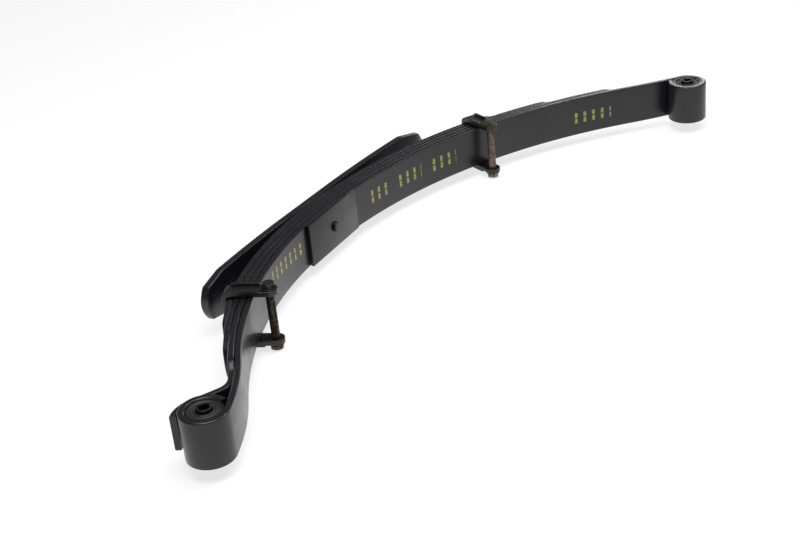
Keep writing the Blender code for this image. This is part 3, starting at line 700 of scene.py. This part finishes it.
# %% [markdown]
# ## Caster wedge
# A tapered steel plate between the spring and the axle tilts the axle by about two degrees. It is sawn
# from bar, so its edges are crisp with only a small break. It is an outline extruded across the width,
# with a bevel on its sharp edges, and an exact Boolean drills it for the centre bolt's head.

# %% Wedge
WEDGE_LOW, WEDGE_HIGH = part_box("caster_wedge")
WEDGE_FRONT = 64 * MM
WEDGE_REAR = 60 * MM
WEDGE_GAP = 0.35 * MM
WEDGE_THIN_END = 1.1 * MM
SEAT_MARGIN = 0.02 * MM
HEAD_RADIUS = 6.75 * MM
WEDGE_HOLE_RADIUS = HEAD_RADIUS + 0.3 * MM


def mesh_from(work, name):
    """Mesh of what a bmesh has built; the bmesh is freed."""
    mesh = bpy.data.meshes.new(name)
    work.to_mesh(mesh)
    work.free()
    return mesh


def prism(name, outline, half_height, finish, bevel, place=None):
    """Outline in XY extruded both ways along Z, with its edges broken."""
    work = bmesh.new()
    low = [work.verts.new((x, y, -half_height)) for x, y in outline]
    high = [work.verts.new((x, y, half_height)) for x, y in outline]
    work.faces.new(low)
    work.faces.new(high)
    for i in range(len(outline)):
        j = (i + 1) % len(outline)
        work.faces.new((low[i], low[j], high[j], high[i]))
    bmesh.ops.recalc_face_normals(work, faces=work.faces)
    sharp = [edge for edge in work.edges if edge.calc_face_angle() > math.radians(25)]
    bmesh.ops.bevel(work, geom=sharp, offset=bevel, segments=2, profile=0.5, affect="EDGES",
                    clamp_overlap=True)
    return finished(name, mesh_from(work, name), finish, place, 30)


def wedge():
    places = steps_between(-WEDGE_FRONT, WEDGE_REAR, LEAF_STEP)
    outline = [tuple(frame_at(place, -WEDGE_GAP)[0].xy) for place in places]
    outline += [(WEDGE_HIGH.x - SEAT_MARGIN, wedge_top_y(WEDGE_HIGH.x)),
                (WEDGE_LOW.x + SEAT_MARGIN, wedge_top_y(WEDGE_LOW.x))]
    return drilled(prism("wedge_plate", outline, LEAF_HALF_WIDTH, PLAIN_PAINT, 0.35 * MM), WEDGE_HOLE_RADIUS)


def drilled(plate, radius):
    """The plate with a hole of this radius through the origin along Y."""
    disc = bmesh.new()
    bmesh.ops.create_cone(disc, cap_ends=True, segments=64, radius1=radius, radius2=radius, depth=0.2,
                          matrix=Matrix.Rotation(math.radians(90), 4, "X"))
    drill = bpy.data.objects.new("drill", mesh_from(disc, "drill"))
    bpy.context.scene.collection.objects.link(drill)
    hole = plate.modifiers.new("Hole", "BOOLEAN")
    hole.operation, hole.solver, hole.object = "DIFFERENCE", "EXACT", drill
    piece = frozen("wedge_drilled", plate, PLAIN_PAINT, None, 30)
    bpy.data.objects.remove(drill, do_unlink=True)
    return piece


def wedge_top_y(x):
    """Height of the wedge's seat, from the lowest and highest places of its flat side."""
    front = WEDGE_LOW.y
    rear = frame_at(WEDGE_REAR)[0].y - WEDGE_THIN_END
    return front + (rear - front) * (x - WEDGE_LOW.x) / (WEDGE_HIGH.x - WEDGE_LOW.x)


stand_for(wedge(), "caster_wedge", "pack")
print("wedge length, mm:", round((WEDGE_HIGH.x - WEDGE_LOW.x) / MM))

# %% [markdown]
# ## Turned pieces
# Bolts, washers, bushes and sleeves are turned on a lathe or moulded round, so each is a profile swung
# about an axis. The Screw modifier could do it, but a short function that builds the rings itself also
# makes the hexagons: a ring's radius and height may be rules of the angle, and a nut is a ring whose
# radius is that of a hexagon and whose corners are cut back by a cone.

# %% The lathe
ROUND_SEGMENTS = 96


def value_at(rule, angle):
    return rule(angle) if callable(rule) else rule


def turned(name, profile, finish, place=None, closed=False, smooth_angle=32):
    """Profile of (radius, height) pairs swung about Z; each may be a rule of the angle."""
    work = bmesh.new()
    rings = []
    angles = [2 * math.pi * i / ROUND_SEGMENTS for i in range(ROUND_SEGMENTS)]
    for radius, height in profile:
        if radius == 0:
            rings.append([work.verts.new((0, 0, value_at(height, 0)))])
            continue
        rings.append([work.verts.new((value_at(radius, a) * math.cos(a), value_at(radius, a) * math.sin(a),
                                      value_at(height, a))) for a in angles])
    pairs = list(zip(rings, rings[1:]))
    if closed:
        pairs.append((rings[-1], rings[0]))
    for upper, lower in pairs:
        for i in range(ROUND_SEGMENTS):
            j = (i + 1) % ROUND_SEGMENTS
            corners = (upper[i % len(upper)], upper[j % len(upper)],
                       lower[j % len(lower)], lower[i % len(lower)])
            work.faces.new(list(dict.fromkeys(corners)))
    return finished(name, mesh_from(work, name), finish, place, smooth_angle)


def softened(profile, radius, closed=False, steps=3):
    """Profile with its corners cut to short arcs of about the radius."""
    count = len(profile)
    points = []
    for i, (x, y) in enumerate(profile):
        if not closed and i in (0, count - 1):
            points.append((x, y))
            continue
        here = Vector((x, y))
        before = Vector(profile[i - 1]) - here
        after = Vector(profile[(i + 1) % count]) - here
        reach = min(radius, 0.45 * before.length, 0.45 * after.length)
        first, last = here + reach * before.normalized(), here + reach * after.normalized()
        for k in range(steps + 1):
            t = k / steps
            point = first * (1 - t) ** 2 + here * 2 * t * (1 - t) + last * t ** 2
            points.append((point.x, point.y))
    return points


def hexagon(width):
    """Rule for the radius of a hexagon of this width across its flats."""
    def radius(angle):
        return width / 2 / math.cos((angle + math.pi / 6) % (math.pi / 3) - math.pi / 6)
    return radius


def hex_piece(name, width, bottom, top, bore, finish, place, chamfer_both=True):
    """Bolt head or nut along Z with cone-cut corners; a bore of zero closes its ends."""
    side = hexagon(width)
    flat = 0.47 * width
    slope = math.tan(math.radians(30))

    def upper(angle):
        return top - (side(angle) - flat) * slope

    def lower(angle):
        return bottom + (side(angle) - flat) * slope

    profile = [(flat, top), (side, upper)]
    profile += [(side, lower), (flat, bottom)] if chamfer_both else [(side, bottom)]
    if bore:
        profile = [(bore, top - 0.5 * MM), (bore + 0.5 * MM, top)] + profile
        profile += [(bore + 0.5 * MM, bottom), (bore, bottom + 0.5 * MM)]
        return turned(name, profile, finish, place, closed=True, smooth_angle=20)
    return turned(name, [(0, top)] + profile + [(0, bottom)], finish, place, smooth_angle=20)


print("hexagon of 17 mm, corner radius, mm:", round(hexagon(17)(math.pi / 6), 2))

# %% [markdown]
# ## Threads
# A thread is a ridge that winds up a bolt, so it follows a path by rule: a spiral curve with a small
# triangular section swept along it. The tree has named inputs for the radius, the pitch and the length.

# %% The thread tree
def thread_tree():
    """Ridge along a spiral about Z, starting at the origin."""
    tree, given = start_tree("screw_thread", Radius="Float", Pitch="Float", Length="Float", Depth="Float",
                             Finish="Material")
    turns = math_node(tree, "DIVIDE", given["Length"], given["Pitch"])
    core = math_node(tree, "SUBTRACT", given["Radius"], given["Depth"])
    spiral = add(tree, "GeometryNodeCurveSpiral",
                 {"Resolution": 48, "Rotations": turns, "Start Radius": core,
                  "End Radius": core, "Height": given["Length"]})
    ridge = add(tree, "GeometryNodeCurvePrimitiveCircle", {"Resolution": 3, "Radius": given["Depth"]},
                mode="RADIUS")
    swept_ridge = add(tree, "GeometryNodeCurveToMesh",
                      {"Curve": spiral.outputs[0], "Profile Curve": ridge.outputs[0], "Fill Caps": True})
    return end_tree(tree, swept_ridge.outputs[0], given["Finish"])


THREAD_TREE = thread_tree()


def thread(name, radius, pitch, length, finish, place):
    """Thread ridge as a plain mesh."""
    holder = bpy.data.objects.new(name + "_line", bpy.data.meshes.new(name))
    bpy.context.scene.collection.objects.link(holder)
    return grown(name, holder, THREAD_TREE, finish, place, 40,
                 Radius=radius, Pitch=pitch, Length=length, Depth=0.45 * pitch)


print("thread tree nodes:", len(THREAD_TREE.nodes))

# %% [markdown]
# ## Centre bolt
# One bolt holds all the leaves together until the U-bolts clamp them. Its plain round head bears on the
# main leaf, passes through the wedge with a little room round it, and drops into a hole in the axle's
# seat. On the outside of the overload leaf it ends in a hexagon nut.

# %% Centre bolt and nut
CENTRE_BOLT_RADIUS = 5 * MM
NUT_LOW, NUT_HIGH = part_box("centre_nut")
BOLT_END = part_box("centre_bolt")[1].y
# Local +Z points to -Y, out of the wedge
INTO_SEAT = Matrix.Rotation(math.radians(90), 4, "X")


def centre_bolt():
    under = 0.3 * MM - INNER_FACE_Y
    core = CENTRE_BOLT_RADIUS - 0.8 * MM
    profile = [(0, 0), (HEAD_RADIUS, 0), (HEAD_RADIUS, under), (core, under),
               (core, 0.6 * MM - BOLT_END), (core - 0.6 * MM, -BOLT_END), (0, -BOLT_END)]
    return turned("centre_bolt_turned", softened(profile, 0.5 * MM), PLAIN_PAINT, INTO_SEAT)


stand_for(centre_bolt(), "centre_bolt", "pack")
stand_for(hex_piece("centre_nut_hex", NUT_HIGH.z * 2, -NUT_HIGH.y, -NUT_LOW.y,
                    CENTRE_BOLT_RADIUS, PLAIN_PAINT, INTO_SEAT), "centre_nut", "pack")
centre_thread = thread("centre_bolt_thread", CENTRE_BOLT_RADIUS, 1.5 * MM, BOLT_END - NUT_LOW.y - 1 * MM,
                       PLAIN_PAINT, INTO_SEAT @ Matrix.Translation((0, 0, 0.8 * MM - BOLT_END)))
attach(centre_thread, "pack")
print("centre bolt length, mm:", round(BOLT_END / MM))

# %% [markdown]
# ## Rubber bushes
# Each eye holds a pressed-in bush: a thin steel shell, a moulded rubber ring and a steel sleeve that
# stands proud so that the hanger clamps it. The rubber's end is dished, with two shallow ring grooves round
# the sleeve. All three are turned shapes, and their profiles carry the lips and grooves.

# %% Bushes
SHELL_RADIUS = EYE_RADIUS - LEAF_THICKNESS - 0.1 * MM
SHELL_WALL = 1.8 * MM
SHELL_HALF = 29.2 * MM
RUBBER_HALF = 28.6 * MM
SLEEVE_RADIUS = 9 * MM
SLEEVE_BORE = 6.1 * MM
SLEEVE_HALF = 32.5 * MM


def mirrored(half_profile):
    """Closed profile from its upper half."""
    return half_profile + [(radius, -height) for radius, height in reversed(half_profile)]


def shell_profile():
    inner = SHELL_RADIUS - SHELL_WALL
    return softened(mirrored([(inner, SHELL_HALF), (SHELL_RADIUS, SHELL_HALF)]), 0.5 * MM, closed=True)


def rubber_profile():
    inner, outer = SLEEVE_RADIUS - 0.05 * MM, SHELL_RADIUS - SHELL_WALL + 0.05 * MM
    span = outer - inner
    top = RUBBER_HALF
    half = [(inner, top - 1.2 * MM), (inner + 0.1 * span, top - 0.2 * MM),
            (inner + 0.24 * span, top - 0.3 * MM), (inner + 0.32 * span, top - 1.4 * MM),
            (inner + 0.4 * span, top - 0.4 * MM), (inner + 0.6 * span, top - 0.3 * MM),
            (inner + 0.68 * span, top - 1.2 * MM), (inner + 0.76 * span, top - 0.3 * MM),
            (inner + 0.93 * span, top), (outer, top - 0.5 * MM)]
    return softened(mirrored(half), 0.5 * MM, closed=True)


def sleeve_profile():
    half = [(SLEEVE_BORE, SLEEVE_HALF - 0.9 * MM), (SLEEVE_BORE + 0.9 * MM, SLEEVE_HALF),
            (SLEEVE_RADIUS - 0.7 * MM, SLEEVE_HALF), (SLEEVE_RADIUS, SLEEVE_HALF - 0.7 * MM)]
    return softened(mirrored(half), 0.25 * MM, closed=True)


BUSH_PARTS = (("shell", "tube", shell_profile(), PLAIN_PAINT, "end"),
              ("rubber", "ring", rubber_profile(), RUBBER, "end"),
              ("sleeve", "tube", sleeve_profile(), METALS["sleeve"], "sleeve"))

for end, centre in (("front", FRONT_EYE), ("rear", REAR_EYE)):
    for part, form, profile, finish, body in BUSH_PARTS:
        piece = turned(f"{end}_{part}_{form}", profile, finish, Matrix.Translation(centre), closed=True)
        stand_for(piece, f"{end}_bush_{part}", f"{end}_{body}")
    print(end, "bush at, mm:", [round(value / MM, 1) for value in centre])

# %% [markdown]
# ## Rebound clips
# When an axle drops, only the main leaf would be pulled down, so clips tie the pack together. Each is a
# strap riveted to the fourth leaf, bent up round the pack and closed by a bolt across the inner side. The
# strap is one more bar on a path: a U in the plane across the leaf. Its ends are rounded by the same share
# of the width, and a shallow rolled groove runs along its outside. Two pressed ribs stiffen each arm
# between the bend and the washer.

# %% Clip straps
CLIP_HALF_WIDTH = 11 * MM
CLIP_THICKNESS = 6.5 * MM
CLIP_INNER = LEAF_HALF_WIDTH + 1 * MM
CLIP_BACK = 4 * LEAF_PITCH - 0.2 * MM
CLIP_BEND = 8 * MM
CLIP_BOLT_OUT = 18.5 * MM
CLIP_STATION = {"front": -251 * MM, "rear": 328 * MM}
CLIP_SECTION = section_object("clip_section", CLIP_HALF_WIDTH, CLIP_THICKNESS, 1.1 * MM,
                              groove=(5.5 * MM, 1.4 * MM, 1.1 * MM))


def clip_place(end):
    """Carries X out of the arch, Y up across the leaf and Z along it to the rear."""
    origin, along, normal = frame_at(CLIP_STATION[end])
    rearward = along if along.x > 0 else -along
    place = Matrix((normal, rearward.cross(normal), rearward)).transposed().to_4x4()
    place.translation = origin
    return place


def strap_line():
    """U-shaped middle line in XY, with the share of the width at each point."""
    half = CLIP_THICKNESS / 2
    arm_y = CLIP_INNER + half
    back_x = CLIP_BACK + half
    bend = CLIP_BEND - half
    arm, shares = [], []
    for k in range(13):
        share = math.sin(math.radians(90 * k / 12))
        arm.append((-CLIP_BOLT_OUT - CLIP_HALF_WIDTH * math.sqrt(1 - share ** 2), arm_y))
        shares.append(max(share, 0.02))
    arm += [(x, arm_y) for x in steps_between(-CLIP_BOLT_OUT, back_x - bend, 5 * MM)[1:]]
    for i in range(1, 11):
        angle = math.radians(90 - 9 * i)
        arm.append((back_x - bend + bend * math.cos(angle), arm_y - bend + bend * math.sin(angle)))
    arm.append((back_x, 0.0))
    shares += [1.0] * (len(arm) - len(shares))
    line = arm + [(x, -y) for x, y in reversed(arm[:-1])]
    return [Vector((x, y, 0)) for x, y in line], shares + shares[-2::-1]


# Ribs: middle along the leaf, height
CLIP_RIBS = ((9 * MM, 3 * MM), (-9 * MM, 2 * MM))
CLIP_RIB_HALF = 1.8 * MM
WASHER_RADIUS = 10 * MM


def clip_ribs(end):
    """The two ribs on each arm of a strap."""
    outer = CLIP_INNER + CLIP_THICKNESS
    start = WASHER_RADIUS - CLIP_BOLT_OUT + 1 * MM
    stop = CLIP_BACK + CLIP_THICKNESS - CLIP_BEND
    for middle, height in CLIP_RIBS:
        for side in (1, -1):
            outline = [(start, side * (outer - 1 * MM)), (stop, side * (outer - 1 * MM)),
                       (stop - height / 2, side * (outer + height)),
                       (start + height, side * (outer + height))]
            place = clip_place(end) @ Matrix.Translation((0, 0, middle))
            yield prism(f"{end}_strap_rib", outline, CLIP_RIB_HALF, PLAIN_PAINT, 0.7 * MM, place)


for end in CLIP_STATION:
    for rib in clip_ribs(end):
        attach(rib, f"{end}_end")
    points, shares = strap_line()
    strap = swept(f"{end}_strap_bar", points, CLIP_SECTION, PLAIN_PAINT, clip_place(end),
                  share=shares, station=[0.0] * len(points))
    stand_for(strap, f"{end}_clip_strap", f"{end}_end")
    print(end, "strap faces:", len(strap.data.polygons))

# %% [markdown]
# ## Clip bolts, washers, nuts and rivets
# The cross bolt closes the strap's ends, with a hexagon head and washer above and a washer
# and nut below. The rivet's domed head shows on the strap's back. All are turned along the bolt's own
# axis, which stands across the leaf.

# %% Clip hardware
CLIP_BOLT_RADIUS = 5.4 * MM
CLIP_HEX = 15 * MM
WASHER_THICKNESS = 1.8 * MM
RIVET_HEAD_RADIUS = 7 * MM
RIVET_HEAD_HEIGHT = 3.5 * MM
ARM_OUTSIDE = CLIP_INNER + CLIP_THICKNESS


def clip_hardware(end):
    """Bolt, head, head washer, nut washer, nut and thread of one clip."""
    body = f"{end}_end"
    axis_point = clip_place(end) @ Vector((-CLIP_BOLT_OUT, 0, 0))
    place = Matrix.Translation(axis_point)
    bolt_low, bolt_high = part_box(f"{end}_clip_bolt")
    head_bottom = ARM_OUTSIDE + WASHER_THICKNESS + 0.3 * MM
    finish = METALS[f"{end}_clip_bolt"]
    core = CLIP_BOLT_RADIUS - 0.7 * MM
    nut_low, nut_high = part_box(f"{end}_clip_nut")
    profile = [(0, head_bottom + 1 * MM), (CLIP_BOLT_RADIUS, head_bottom + 1 * MM),
               (CLIP_BOLT_RADIUS, nut_high.z + 1 * MM), (core, nut_high.z), (core, bolt_low.z + 0.8 * MM),
               (core - 0.8 * MM, bolt_low.z), (0, bolt_low.z)]
    shank = turned(f"{end}_bolt_shank", softened(profile, 0.3 * MM), finish, place)
    stand_for(shank, f"{end}_clip_bolt", body)
    head = hex_piece(f"{end}_bolt_head", CLIP_HEX, head_bottom, bolt_high.z, 0,
                     METALS[f"{end}_clip_washer"], place, chamfer_both=False)
    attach(head, body)
    ridge = thread(f"{end}_bolt_thread", CLIP_BOLT_RADIUS, 1.25 * MM, nut_high.z - bolt_low.z - 0.8 * MM,
                   finish, place @ Matrix.Translation((0, 0, bolt_low.z + 0.6 * MM)))
    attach(ridge, body)
    nut = hex_piece(f"{end}_nut_hex", CLIP_HEX, nut_low.z, nut_high.z + 0.2 * MM, CLIP_BOLT_RADIUS,
                    METALS[f"{end}_clip_nut"], place)
    stand_for(nut, f"{end}_clip_nut", body)
    for label, middle in (("head", ARM_OUTSIDE + 0.15 * MM + WASHER_THICKNESS / 2),
                          ("nut", -ARM_OUTSIDE - 0.15 * MM - WASHER_THICKNESS / 2)):
        half = WASHER_THICKNESS / 2
        ring = [(CLIP_BOLT_RADIUS, half), (WASHER_RADIUS, half), (WASHER_RADIUS, -half),
                (CLIP_BOLT_RADIUS, -half)]
        washer = turned(f"{end}_{label}_washer_ring", softened(ring, 0.4 * MM, closed=True),
                        METALS[f"{end}_clip_washer"], place @ Matrix.Translation((0, 0, middle)), closed=True)
        stand_for(washer, f"{end}_clip_{label}_washer", body)


def clip_rivet(end):
    """Dome on the back of the strap, with a short shank through it."""
    outside = CLIP_BACK + CLIP_THICKNESS
    profile = [(0, outside + RIVET_HEAD_HEIGHT)]
    for i in range(1, 13):
        angle = math.radians(7.5 * i)
        profile.append((RIVET_HEAD_RADIUS * math.sin(angle), outside + RIVET_HEAD_HEIGHT * math.cos(angle)))
    profile += [(3.5 * MM, outside), (3.5 * MM, outside - CLIP_THICKNESS), (0, outside - CLIP_THICKNESS)]
    place = clip_place(end) @ Matrix.Rotation(math.radians(90), 4, "Y")
    return turned(f"{end}_rivet_dome", profile, PLAIN_PAINT, place)


for end in CLIP_STATION:
    clip_hardware(end)
    stand_for(clip_rivet(end), f"{end}_clip_rivet", f"{end}_end")
print("clips done")

# %% [markdown]
# ## Floor, light and camera
# A dark, glossy thing is shown by what it reflects. The floor is plain and pale, glows a little so that it
# stays white under the dim room, and looks the same to the eye and in the paint. One large soft light above
# and two small ones at the sides put fine bright lines on the rounded edges.

# %% Floor
for helper in (LEAF_SECTION, OVERLOAD_SECTION, CLIP_SECTION):
    bpy.data.objects.remove(helper, do_unlink=True)


def floor():
    material = start_material("pale_studio_floor", Roughness=0.9, Base_Color=linear("#8c8c8c"),
                              Emission_Color=linear("#ffffff"), Emission_Strength=0.74)[0]
    half = 8.0
    level = CAD_BOX[0].z
    mesh = bpy.data.meshes.new("floor")
    mesh.from_pydata([(-half, -half, level), (half, -half, level), (half, half, level), (-half, half, level)],
                     [], [(0, 1, 2, 3)])
    plane = piece_of("floor", mesh, material)


floor()
print("floor at, mm:", round(CAD_BOX[0].z / MM, 1))

# %% Light
def softbox(name, place, target, size, power):
    """Square area light that faces its target."""
    lamp = bpy.data.lights.new(name, "AREA")
    lamp.shape = "SQUARE"
    lamp.size = size
    lamp.energy = power
    item = bpy.data.objects.new(name, lamp)
    item.location = place
    item.rotation_euler = (Vector(target) - Vector(place)).to_track_quat("-Z", "Y").to_euler()
    item.visible_camera = False
    bpy.context.scene.collection.objects.link(item)


world = bpy.data.worlds.new("bright_room")
world.use_nodes = True
background = world.node_tree.nodes["Background"].inputs
background["Color"].default_value = linear("#ffffff")
background["Strength"].default_value = 0.16
bpy.context.scene.world = world
bpy.context.scene.view_settings.view_transform = "Standard"
softbox("overhead_softbox", (-0.5, -0.35, 2.4), (0.0, -0.05, 0), 1.7, 60)
softbox("side_softbox", (1.05, -0.95, 1.85), (0.25, -0.1, 0), 0.9, 18)
softbox("far_softbox", (2.3, 0.45, 0.5), (-0.2, -0.1, 0), 0.7, 6)
print("lights:", len(bpy.data.lights))

# %% Camera
CAMERA_WAY = Vector((0.8413, 0.5406, 0)).normalized()
CAMERA_PLACE = (-1.4175, INNER_FACE_Y - 1.0143, 0.8325)
ELEVATION = math.radians(27.494)
ROLL = math.radians(-5.829)
LENS = 63.39


def camera():
    data = bpy.data.cameras.new("camera")
    data.lens = LENS
    data.sensor_width = 36
    data.clip_end = 50
    item = bpy.data.objects.new("camera", data)
    look = CAMERA_WAY * math.cos(ELEVATION) - Vector((0, 0, math.sin(ELEVATION)))
    level_right = Vector((CAMERA_WAY.y, -CAMERA_WAY.x, 0))
    level_up = level_right.cross(look)
    right = math.cos(ROLL) * level_right + math.sin(ROLL) * level_up
    up = -math.sin(ROLL) * level_right + math.cos(ROLL) * level_up
    place = Matrix((right, up, -look)).transposed().to_4x4()
    place.translation = CAMERA_PLACE
    item.matrix_world = place
    bpy.context.scene.collection.objects.link(item)
    bpy.context.scene.camera = item


camera()
